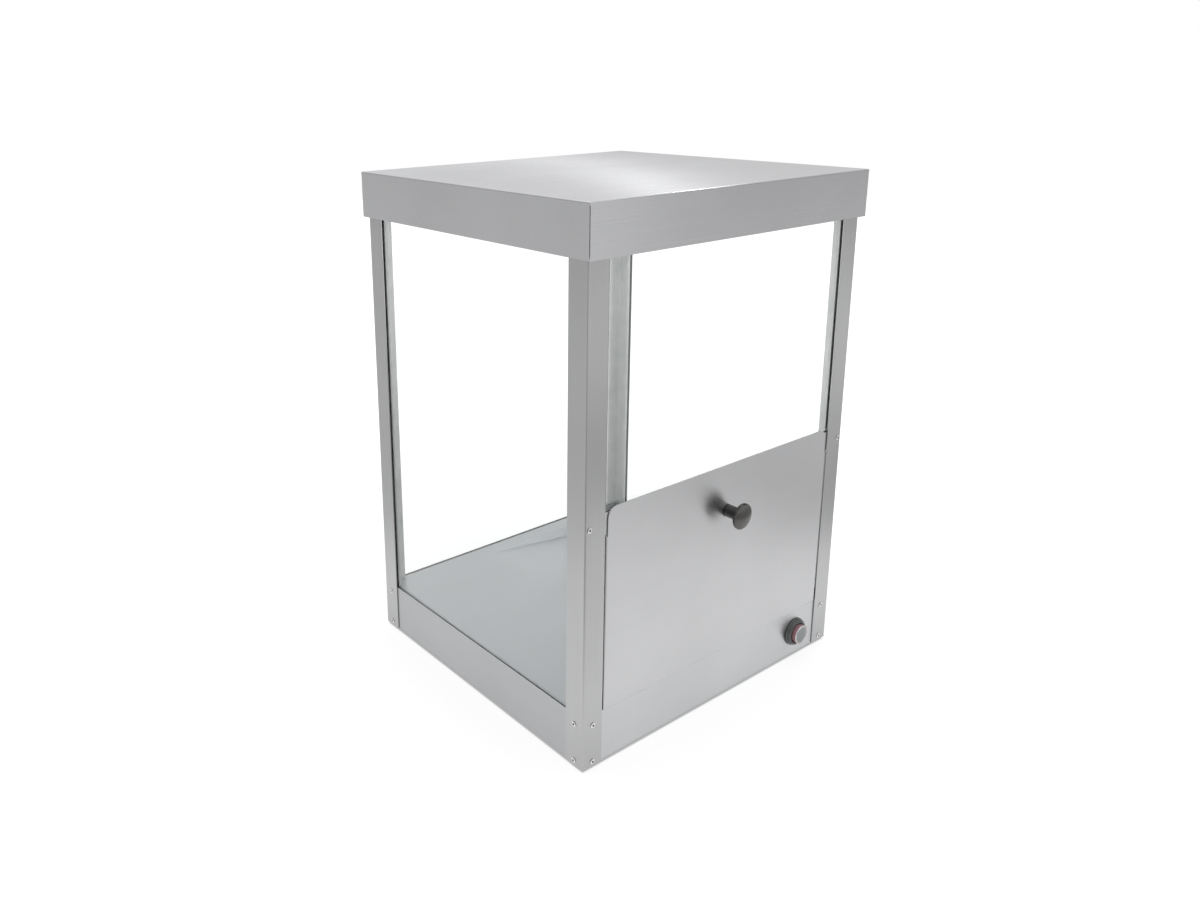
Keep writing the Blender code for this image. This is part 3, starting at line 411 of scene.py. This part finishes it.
class CABINET_OT_knob(bpy.types.Operator):
    """Turns the dark knob and finishes its screw"""
    bl_idname = "cabinet.knob"
    bl_label = "Knob"

    def execute(self, context):
        finish, detail, _ = settings()
        low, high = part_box("door_knob")
        seat, rim, reach = seated(low, high)
        stem, thick, crown, lip, fillet = 0.0068, 0.0045, 0.0020, 0.0004, 0.0010
        ease_in, ease_down = 0.0002, 0.0003
        hole, hole_deep = 0.0018, 0.0095
        stem_shade = 0.95
        profile = domed(rim, reach, crown, (0.0, 0.25, 0.5, 0.7, 0.85, 0.94))
        profile += [(rim - ease_in, reach - crown - ease_down), (rim, reach - crown - lip),
                    (rim, reach - thick + lip), (rim - lip, reach - thick), (stem + fillet, reach - thick),
                    (stem, reach - thick - fillet), (stem, GAP), (hole, GAP), (hole, hole_deep),
                    (0, hole_deep)]
        polished = self.metal("knob_polished", finish.knob, 0.03)
        dark = self.metal("knob_dark_stem", [stem_shade * c for c in finish.knob], 0.14)
        bm = put(turned(profile, detail.knob_steps, detail.edge / 2), seat, "front")
        second_finish(bm, lambda spot: spot.y > seat.y - reach + thick)
        add_piece("knob", bm, [polished, dark], DOOR, ["door_knob"])
        dress(plain_finish("screw_zinc", (0.55, 0.55, 0.54), 0.3, metallic=1.0), "knob_screw")
        return {"FINISHED"}

    def metal(self, name, colour, roughness):
        """Dark plated metal with faint smears."""
        smear_rough = 0.03
        material, tree, shader = new_material(name)
        smears = object_noise(tree, 90.0, detail=3.0)
        shader.inputs["Metallic"].default_value = 1.0
        tree.links.new(shaded(tree, smears, colour, 0.92, 1.08), shader.inputs["Base Color"])
        tree.links.new(ranged(tree, smears, roughness, roughness + smear_rough), shader.inputs["Roughness"])
        return material


class CABINET_OT_push_switch(bpy.types.Operator):
    """Builds the round push switch: black bezel, clear red button and silver cap"""
    bl_idname = "cabinet.push_switch"
    bl_label = "Push switch"

    def execute(self, context):
        self.bezel()
        self.button()
        self.cap()
        return {"FINISHED"}

    def bezel(self):
        """A rounded ring on the skirt, with a barrel behind it and a bore for the button."""
        _, detail, _ = settings()
        low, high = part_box("switch_housing")
        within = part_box("switch_button")
        out, side, barrel, bore_deep = 0.0060, 0.0015, 0.0125, 0.009
        lead_in, lead_low, lead_high = 0.0009, 0.0012, 0.0002
        crest_in, edge, foot, rise, bends = 0.0013, 0.0008, 0.0022, 0.0038, 6
        rim, deep = (high.x - low.x) / 2, high.y - low.y - out
        bore = (within[1].x - within[0].x) / 2 + GAP
        crest = bore + crest_in
        seat = Vector(((low.x + high.x) / 2, low.y + out, (low.z + high.z) / 2))
        angles = [math.pi / 2 * bend / bends for bend in range(bends, -1, -1)]
        dome = [(crest + (rim - edge - crest) * math.cos(a), foot + rise * math.sin(a)) for a in angles]
        profile = [(0, -bore_deep), (bore, -bore_deep), (bore, out - lead_low),
                   (bore + lead_in, out - lead_high), *dome, (rim, side), (rim, GAP), (barrel, GAP),
                   (barrel, -deep), (0, -deep)]
        material = plain_finish("bezel_black", (0.088, 0.093, 0.092), 0.2, grain=1200.0)
        bm = put(turned(profile, detail.knob_steps, detail.edge / 2), seat, "front")
        add_piece("switch_bezel", bm, [material], CABINET, ["switch_housing"])

    def button(self):
        """A clear red button whose front rim round the recess for its cap is coloured light as a painted
        highlight.
        """
        finish, detail, _ = settings()
        low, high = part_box("switch_button")
        seat, rim, tall = seated(low, high)
        wide, dish, slim, ease, collar, pale_deep = 0.0006, 0.0008, 0.0003, 0.0005, 0.0045, 0.0006
        recess = rim - wide
        profile = [(0, tall - dish), (recess, tall - dish), (recess, tall), (rim - slim, tall),
                   (rim, tall - ease), (rim, tall - collar), (rim - slim, tall - collar - slim),
                   (rim - slim, 0), (0, 0)]
        material, tree, shader = new_material("button_clear_red")
        streaks = object_noise(tree, 1.0, stretch=(500, 60, 500))
        tree.links.new(shaded(tree, streaks, finish.button, 0.85, 1.15), shader.inputs["Base Color"])
        tree.links.new(ranged(tree, streaks, 0.10, 0.2), shader.inputs["Roughness"])
        shader.inputs["Transmission Weight"].default_value = 0.25
        shader.inputs["Subsurface Weight"].default_value = 0.2
        shader.inputs["Subsurface Radius"].default_value = (0.003, 0.0006, 0.0006)
        # The front rim's light pink colour is a painted highlight on the clear red button
        pale = plain_finish("button_rim_painted_highlight", (0.90, 0.80, 0.81), 0.12, grain=900.0)
        bm = put(turned(profile, detail.knob_steps, 0), seat, "front")
        second_finish(bm, lambda spot: spot.y < low.y + pale_deep)
        add_piece("switch_red_button", bm, [material, pale], SWITCH, ["switch_button"])

    def cap(self):
        """A domed silver cap whose raised rim is coloured light as a painted highlight."""
        _, detail, _ = settings()
        low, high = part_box("switch_cap")
        seat, rim, tall = seated(low, high)
        wide, drop = 0.0007, 0.0009
        lip_in, lip_low, ease_in, lip_high = 0.0001, 0.0006, 0.0003, 0.0005
        ring = rim - wide
        profile = domed(ring, tall, drop, (0.0, 0.3, 0.55, 0.75, 0.9, 1.0))
        profile += [(ring + lip_in, tall - lip_low), (rim - ease_in, tall - lip_high), (rim, tall - drop),
                    (rim, 0), (0, 0)]
        face = plain_finish("cap_silver", (0.28, 0.30, 0.303), 0.22, metallic=0.85, grain=700.0, bump=0.04)
        # The rim's light colour is a painted highlight on the silver cap
        bright = plain_finish("cap_rim_painted_highlight", (0.86, 0.86, 0.87), 0.16, metallic=1.0)
        bm = put(turned(profile, detail.knob_steps, 0), seat, "front")
        second_finish(bm, lambda spot: math.hypot(spot.x - seat.x, spot.z - seat.z) > ring)
        add_piece("switch_silver_cap", bm, [face, bright], SWITCH, ["switch_cap"])


class CABINET_OT_screws(bpy.types.Operator):
    """Builds the small button-head screws with hexagon sockets"""
    bl_idname = "cabinet.screws"
    bl_label = "Socket screws"

    def execute(self, context):
        material = plain_finish("screw_steel", (0.85, 0.85, 0.85), 0.2, metallic=1.0, grain=900.0)
        dark = plain_finish("socket_shadow", (0.03, 0.03, 0.03), 0.5, metallic=1.0, grain=900.0)
        for name in named("post_screw") + named("side_screw") + named("rail_screw"):
            low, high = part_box(name)
            aim, seat = self.facing(name, low, high)
            bm = put(self.head(), seat, aim)
            piece = name.replace("screw", "socket_screw")
            add_piece(piece, bm, [material, dark], CABINET, [name])
        return {"FINISHED"}

    def facing(self, name, low, high):
        """The way a screw's head looks, and the middle of the head's underside."""
        spot = (low + high) / 2
        if name.startswith("side"):
            aim = "left" if spot.x < 0 else "right"
            spot.x = low.x + SCREW_TALL if aim == "left" else high.x - SCREW_TALL
        else:
            aim = "rear" if "rear" in name else "front"
            spot.y = low.y + SCREW_TALL if aim == "front" else high.y - SCREW_TALL
        return aim, spot

    def head(self):
        """A domed head on a short shank, with a six-sided socket."""
        _, detail, _ = settings()
        bm = bmesh.new()
        socket = bmesh.ops.create_circle(bm, segments=6, radius=detail.socket)["verts"]
        bmesh.ops.translate(bm, vec=(0, 0, SCREW_TALL), verts=socket)
        mouth = list(bm.edges)
        crown = bmesh.ops.create_circle(bm, segments=SCREW_STEPS, radius=SCREW_CROWN * SCREW_RIM)["verts"]
        bmesh.ops.translate(bm, vec=(0, 0, SCREW_TALL), verts=crown)
        loop = [e for e in bm.edges if e not in mouth]
        bmesh.ops.bridge_loops(bm, edges=mouth + loop)
        for across, up in SCREW_RINGS:
            loop = self.ring(bm, loop, across * SCREW_RIM, up * SCREW_TALL)
        loop = self.ring(bm, loop, SHANK * SCREW_RIM, -SHANK_LONG)
        bmesh.ops.holes_fill(bm, edges=loop, sides=0)
        walls = bmesh.ops.extrude_edge_only(bm, edges=mouth)["geom"]
        bottom = [g for g in walls if isinstance(g, bmesh.types.BMVert)]
        bmesh.ops.translate(bm, vec=(0, 0, -SOCKET_DEEP), verts=bottom)
        floor = bmesh.ops.contextual_create(bm, geom=bottom)["faces"]
        sides = [g for g in walls if isinstance(g, bmesh.types.BMFace)]
        for polygon in floor + sides:
            polygon.material_index = 1
        bmesh.ops.recalc_face_normals(bm, faces=bm.faces)
        return bm

    def ring(self, bm, loop, radius, height):
        """Extrudes a round loop to a new radius and height and returns the new loop."""
        geom = bmesh.ops.extrude_edge_only(bm, edges=loop)["geom"]
        fresh = [g for g in geom if isinstance(g, bmesh.types.BMVert)]
        now = fresh[0].co.xy.length
        bmesh.ops.scale(bm, vec=(radius / now, radius / now, 1), verts=fresh)
        bmesh.ops.translate(bm, vec=(0, 0, height - fresh[0].co.z), verts=fresh)
        return [g for g in geom if isinstance(g, bmesh.types.BMEdge) and all(v in fresh for v in g.verts)]


class CABINET_OT_base_fittings(bpy.types.Operator):
    """Finishes the feet, the bottom plate, the heating parts and the catch, and builds the inlet"""
    bl_idname = "cabinet.base_fittings"
    bl_label = "Base fittings"

    def execute(self, context):
        finish, _, _ = settings()
        rubber = plain_finish("foot_rubber", (0.022, 0.022, 0.023), 0.8, grain=700.0, bump=0.12)
        dress(rubber, *named("foot_"))
        zinc = plain_finish("zinc_sheet", (0.46, 0.48, 0.49), 0.42, metallic=1.0, grain=60.0, bump=0.02)
        dress(zinc, "bottom_plate", "heater_bracket")
        dress(plain_finish("heater_sheath", (0.26, 0.25, 0.235), 0.45, metallic=1.0), "heater_element")
        dress(plain_finish("thermostat_ceramic", (0.72, 0.69, 0.61), 0.6), "thermostat")
        dress(plain_finish("lead_brown", (0.20, 0.085, 0.04), 0.5), "wire_supply")
        dress(plain_finish("lead_blue", (0.05, 0.12, 0.40), 0.5), "wire_heater")
        dress(plain_finish("catch_black", finish.black, 0.5), "magnet_catch")
        self.inlet(plain_finish("inlet_black", finish.black, 0.42, grain=1000.0))
        return {"FINISHED"}

    def inlet(self, material):
        """The inlet's flanged shell, with three blades standing in its socket."""
        low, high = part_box("power_inlet")
        lip, lip_out, wall, deep = 0.0025, 0.0020, 0.0040, 0.0140
        corner, soft, fold = 0.0015, 0.0004, 1.0
        seat = high.y - lip
        bm = bmesh.new()
        boxed(bm, (low.x, seat, low.z), high)
        for way, inset, move in ((1, wall, -deep), (-1, lip_out, low.y - seat)):
            face = max(bm.faces, key=lambda f: way * f.normal.y)
            bmesh.ops.inset_region(bm, faces=[face], thickness=inset, use_even_offset=True)
            pushed = bmesh.ops.extrude_discrete_faces(bm, faces=[face])["faces"]
            bmesh.ops.translate(bm, vec=(0, move, 0), verts=pushed[0].verts)
        clean(bm)
        along = [e for e in bm.edges if abs(e.verts[0].co.y - e.verts[1].co.y) > lip / 2]
        round_edges(bm, corner, along, segments=4)
        rims = [e for e in bm.edges
                if e.calc_face_angle() > fold and min(v.co.y for v in e.verts) > high.y - MERGE]
        round_edges(bm, soft, rims)
        clean(bm)
        add_piece("inlet_shell", bm, [material], CABINET, ["power_inlet"])
        self.blades((low + high) / 2, high.y - deep, high.y)

    def blades(self, middle, floor, mouth):
        """Three flat blades from the floor of the socket to just below its mouth."""
        thick, tall, pitch, below, tip = 0.0020, 0.0050, 0.0070, 0.0025, 0.0006
        bm = bmesh.new()
        for step in (-1, 0, 1):
            at = middle.x + step * pitch
            boxed(bm, (at - thick / 2, floor, middle.z - tall / 2),
                  (at + thick / 2, mouth - below, middle.z + tall / 2))
        tips = [e for e in bm.edges if min(v.co.y for v in e.verts) > floor + MERGE]
        round_edges(bm, tip, tips)
        clean(bm)
        nickel = plain_finish("blade_nickel", (0.66, 0.62, 0.52), 0.28, metallic=1.0, grain=900.0)
        add_piece("inlet_blades", bm, [nickel], CABINET, ["power_inlet"])


class CABINET_OT_stage(bpy.types.Operator):
    """Sets the white table, the soft light, the room that the metal mirrors and the camera"""
    bl_idname = "cabinet.stage"
    bl_label = "Stage"

    def execute(self, context):
        context.scene.view_settings.view_transform = "Standard"
        self.table()
        self.room(context.scene)
        for lamp in LAMPS:
            self.lamp(*lamp)
        self.camera(context.scene)
        return {"FINISHED"}

    def seen_rays(self, tree, kinds):
        """A factor of 1 for the given kinds of ray."""
        path = add_node(tree, "ShaderNodeLightPath")
        factor = path.outputs[kinds[0]]
        for kind in kinds[1:]:
            most = add_node(tree, "ShaderNodeMath", operation="MAXIMUM")
            tree.links.new(factor, most.inputs[0])
            tree.links.new(path.outputs[kind], most.inputs[1])
            factor = most.outputs[0]
        return factor

    def table(self):
        """White with a soft shadow where it is seen; metal mirrors a strip of paper on a dimmer floor."""
        _, _, stage = settings()
        material, tree, shader = new_material("white_table")
        tree.nodes.remove(shader)
        place = add_node(tree, "ShaderNodeTexCoord").outputs["Object"]
        away = self.away(tree, place)
        # The table's glow is dimmed under the cabinet's foot: a painted shadow, in mirrors and where it is
        # seen
        foot_shadow = ranged(tree, away, *PAINTED_SHADOW_UNDER_FOOT)
        across = self.vector(tree, "DOT_PRODUCT", place, ACROSS, "Value")
        along = self.vector(tree, "DOT_PRODUCT", place, ALONG, "Value")
        near = self.blend(tree, self.steps(tree, across, NEAR_WIDE), WHITE, self.steps(tree, along, NEAR_END))
        paper = self.product(tree, self.steps(tree, across, PAPER), self.steps(tree, away, CONTACT))
        paper = self.product(tree, paper, near)
        mirrored = self.glow(tree, self.product(tree, foot_shadow, paper))
        white = self.product(tree, foot_shadow, ranged(tree, away, *TABLE_GLOW))
        seen = add_node(tree, "ShaderNodeAddShader")
        tree.links.new(self.matt(tree, TABLE_SEEN), seen.inputs[0])
        tree.links.new(self.glow(tree, white), seen.inputs[1])
        surface = self.chosen(tree, MIRRORED, self.matt(tree, TABLE_LIGHT), mirrored)
        surface = self.chosen(tree, SEEN, surface, seen.outputs[0])
        tree.links.new(surface, tree.nodes["Material Output"].inputs["Surface"])
        bm = bmesh.new()
        bmesh.ops.create_grid(bm, x_segments=2, y_segments=2, size=stage.table)
        floor = new_object("table_top", bm, [material])

    def matt(self, tree, grey):
        node = add_node(tree, "ShaderNodeBsdfDiffuse")
        node.inputs["Color"].default_value = (grey, grey, grey, 1)
        return node.outputs[0]

    def glow(self, tree, strength):
        node = add_node(tree, "ShaderNodeEmission")
        tree.links.new(strength, node.inputs["Strength"])
        return node.outputs[0]

    def product(self, tree, value, other):
        node = add_node(tree, "ShaderNodeMath", operation="MULTIPLY")
        tree.links.new(value, node.inputs[0])
        tree.links.new(other, node.inputs[1])
        return node.outputs[0]

    def steps(self, tree, value, table):
        """Brightness from a table of values and levels, in between in straight lines."""
        first, last = table[0][0], table[-1][0]
        ramp = add_node(tree, "ShaderNodeValToRGB")
        points = ramp.color_ramp.elements
        while len(points) < len(table):
            points.new(0.5)
        for point, (at, level) in zip(points, table):
            point.position = (at - first) / (last - first)
            point.color = (level, level, level, 1)
        tree.links.new(ranged(tree, value, 0.0, 1.0, first, last), ramp.inputs["Fac"])
        return ramp.outputs["Color"]

    def chosen(self, tree, kinds, other, surface):
        """One surface for the given kinds of ray and another for the rest."""
        node = add_node(tree, "ShaderNodeMixShader")
        tree.links.new(self.seen_rays(tree, kinds), node.inputs[0])
        tree.links.new(other, node.inputs[1])
        tree.links.new(surface, node.inputs[2])
        return node.outputs[0]

    def vector(self, tree, operation, first, second=None, out="Vector"):
        node = add_node(tree, "ShaderNodeVectorMath", operation=operation)
        tree.links.new(first, node.inputs[0])
        if second is not None:
            node.inputs[1].default_value = second
        return node.outputs[out]

    def compass(self, tree, way, table):
        """Brightness from a table of compass angles."""
        node = add_node(tree, "ShaderNodeTexGradient", gradient_type="RADIAL")
        tree.links.new(way, node.inputs["Vector"])
        return self.steps(tree, ranged(tree, node.outputs["Fac"], -180.0, 180.0, 0.0, 1.0), table)

    def away(self, tree, place):
        """Distance of a spot on the table from the cabinet's foot, 0 under it."""
        low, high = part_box("bottom_plate")
        middle, half = (low + high) / 2, (high - low) / 2
        offset = self.vector(tree, "SUBTRACT", place, (middle.x, middle.y, 0))
        beyond = self.vector(tree, "SUBTRACT", self.vector(tree, "ABSOLUTE", offset), (half.x, half.y, 0))
        return self.vector(tree, "LENGTH", self.vector(tree, "MAXIMUM", beyond, (0, 0, 0)), out="Value")

    def room(self, scene):
        """White where it is seen or seen through, an even grey as light, walls and a ceiling in mirrors."""
        world = bpy.data.worlds.new("studio_room")
        world.use_nodes = True
        scene.world = world
        tree = world.node_tree
        way = add_node(tree, "ShaderNodeTexCoord").outputs["Generated"]
        height = ranged(tree, self.vector(tree, "DOT_PRODUCT", way, (0, 0, 1), "Value"), 0.0, 1.0, *CEILING)
        mirrored = self.blend(tree, height, self.compass(tree, way, ROOM), WHITE)
        light = self.blend(tree, self.seen_rays(tree, MIRRORED), ROOM_LIGHT, mirrored)
        light = self.blend(tree, self.seen_rays(tree, SEEN), light, WHITE)
        tree.links.new(light, tree.nodes["Background"].inputs["Color"])

    def blend(self, tree, factor, first, second):
        """A mix of two colours, each a socket or a value."""
        node = add_node(tree, "ShaderNodeMix", data_type="RGBA")
        tree.links.new(factor, node.inputs["Factor"])
        for socket, colour in ((node.inputs["A"], first), (node.inputs["B"], second)):
            if isinstance(colour, tuple):
                socket.default_value = colour
            else:
                tree.links.new(colour, socket)
        return node.outputs["Result"]

    def lamp(self, name, at, size, power, target):
        lamp = bpy.data.lights.new(name, "AREA")
        lamp.shape = "RECTANGLE"
        lamp.size, lamp.size_y = size
        lamp.energy = power
        holder = bpy.data.objects.new(name, lamp)
        holder.location = at
        holder.rotation_euler = (Vector(target) - Vector(at)).to_track_quat("-Z", "Y").to_euler()
        bpy.context.scene.collection.objects.link(holder)

    def camera(self, scene):
        _, _, stage = settings()
        lens = bpy.data.cameras.new("photo_camera")
        lens.lens = stage.lens
        lens.shift_x, lens.shift_y = stage.shift
        camera = bpy.data.objects.new("photo_camera", lens)
        camera.location = stage.eye
        camera.rotation_euler = stage.turn
        scene.collection.objects.link(camera)
        scene.camera = camera


OPERATORS = (CABINET_OT_sheet_metal, CABINET_OT_glazing, CABINET_OT_knob, CABINET_OT_push_switch,
             CABINET_OT_screws, CABINET_OT_base_fittings, CABINET_OT_stage)


class CABINET_PT_looks(bpy.types.Panel):
    """Lists the cabinet's settings and operators"""
    bl_idname = "CABINET_PT_looks"
    bl_label = "Warming cabinet"
    bl_space_type = "VIEW_3D"
    bl_region_type = "UI"
    bl_category = "Cabinet"

    def draw(self, context):
        for group in settings():
            for name in group.__annotations__:
                self.layout.prop(group, name)
        for operator in OPERATORS:
            self.layout.operator(operator.bl_idname)


CLASSES = (FinishSettings, DetailSettings, StageSettings, *OPERATORS, CABINET_PT_looks)


def register():
    for cls in CLASSES:
        bpy.utils.register_class(cls)
    bpy.types.Scene.cabinet_finish = PointerProperty(type=FinishSettings)
    bpy.types.Scene.cabinet_detail = PointerProperty(type=DetailSettings)
    bpy.types.Scene.cabinet_stage = PointerProperty(type=StageSettings)


def unregister():
    for name in ("cabinet_finish", "cabinet_detail", "cabinet_stage"):
        delattr(bpy.types.Scene, name)
    for cls in reversed(CLASSES):
        bpy.utils.unregister_class(cls)


def main():
    register()
    bpy.ops.cabinet.sheet_metal()
    bpy.ops.cabinet.glazing()
    bpy.ops.cabinet.knob()
    bpy.ops.cabinet.push_switch()
    bpy.ops.cabinet.screws()
    bpy.ops.cabinet.base_fittings()
    bpy.ops.cabinet.stage()


if __name__ == "__main__":
    main()
